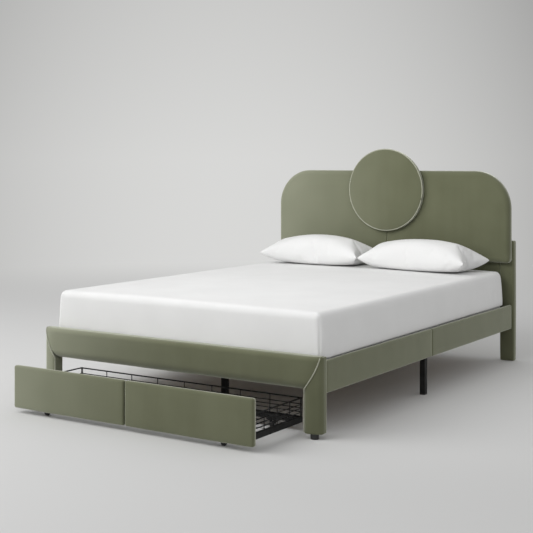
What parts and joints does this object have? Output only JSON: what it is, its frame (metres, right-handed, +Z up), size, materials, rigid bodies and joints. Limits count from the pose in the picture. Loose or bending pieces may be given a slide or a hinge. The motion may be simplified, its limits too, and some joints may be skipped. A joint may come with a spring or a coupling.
{
  "type": "storage bed",
  "caption": "Velvet-covered platform bed with a split headboard and round centre cushion, slats, mattress, pillows and a wire-basket drawer on casters under the footboard.",
  "frame": {"origin": "on the floor under the middle of the whole bed with its drawer pulled out as pictured: the bottom centre of the bounding box", "axes": "+X across the bed towards the right side as seen from the foot, +Y from the foot to the head, +Z up"},
  "size_m": [1.448, 2.337, 1.124],
  "materials": {
    "velvet": "matte",
    "white_cotton": "matte",
    "pine": "matte",
    "black_steel": "satin",
    "plain_steel": "satin",
    "black_plastic": "matte"
  },
  "bodies": {
    "bed": {"centre_beam_front": "black_steel", "centre_beam_rear": "black_steel", "centre_beam_saddles": "black_steel", "centre_leg_front": "black_steel", "centre_leg_middle": "black_steel", "centre_leg_rear": "black_steel", "footboard_corner_brackets": "black_steel", "footboard_feet": "black_plastic", "footboard_left_post": "velvet", "footboard_right_post": "velvet", "footboard_top_rail": "velvet", "frame_bolts": "plain_steel", "headboard_battens": "pine", "headboard_corner_brackets": "black_steel", "headboard_left_cushion": "velvet", "headboard_left_leg": "velvet", "headboard_lower_panel": "velvet", "headboard_right_cushion": "velvet", "headboard_right_leg": "velvet", "headboard_round_cushion": "velvet", "left_pillow": "white_cotton", "left_rail_front": "velvet", "left_rail_rear": "velvet", "left_side_leg": "black_steel", "left_slat_ledges": "black_steel", "leg_glides": "black_plastic", "mattress": "white_cotton", "rail_joint_plates": "black_steel", "right_pillow": "white_cotton", "right_rail_front": "velvet", "right_rail_rear": "velvet", "right_side_leg": "black_steel", "right_slat_ledges": "black_steel", "slat_01": "pine", "slat_02": "pine", "slat_03": "pine", "slat_04": "pine", "slat_05": "pine", "slat_06": "pine", "slat_07": "pine", "slat_08": "pine", "slat_09": "pine", "slat_10": "pine", "slat_11": "pine", "slat_12": "pine"},
    "drawer": {"drawer_left_front": "velvet", "drawer_right_front": "velvet", "drawer_front_joint_plate": "black_steel", "drawer_front_brackets": "black_steel", "drawer_base_frame": "black_steel", "basket_floor": "black_steel", "basket_left_wall": "black_steel", "basket_right_wall": "black_steel", "basket_rear_wall": "black_steel", "caster_brackets": "black_steel", "caster_axles": "plain_steel"},
    "front_left_wheel": {"front_left_wheel": "black_plastic"},
    "front_right_wheel": {"front_right_wheel": "black_plastic"},
    "rear_left_wheel": {"rear_left_wheel": "black_plastic"},
    "rear_right_wheel": {"rear_right_wheel": "black_plastic"}
  },
  "joints": [
    {"name": "drawer_slide", "type": "slide", "parent": "bed", "child": "drawer", "axis": [0, -1, 0], "range_m": [-0.272, 0.11]},
    {"name": "front_left_wheel_spin", "type": "hinge", "parent": "drawer", "child": "front_left_wheel", "pos_m": [-0.45, -1.1315, 0.014], "axis": [1, 0, 0], "continuous": true},
    {"name": "front_right_wheel_spin", "type": "hinge", "parent": "drawer", "child": "front_right_wheel", "pos_m": [0.45, -1.1315, 0.014], "axis": [1, 0, 0], "continuous": true},
    {"name": "rear_left_wheel_spin", "type": "hinge", "parent": "drawer", "child": "rear_left_wheel", "pos_m": [-0.45, -0.798, 0.014], "axis": [1, 0, 0], "continuous": true},
    {"name": "rear_right_wheel_spin", "type": "hinge", "parent": "drawer", "child": "rear_right_wheel", "pos_m": [0.45, -0.798, 0.014], "axis": [1, 0, 0], "continuous": true}
  ],
  "couplings": [
    {"joint": "front_left_wheel_spin", "follows": "drawer_slide", "rad_per_m": 71.429},
    {"joint": "front_right_wheel_spin", "follows": "drawer_slide", "rad_per_m": 71.429},
    {"joint": "rear_left_wheel_spin", "follows": "drawer_slide", "rad_per_m": 71.429},
    {"joint": "rear_right_wheel_spin", "follows": "drawer_slide", "rad_per_m": 71.429}
  ]
}
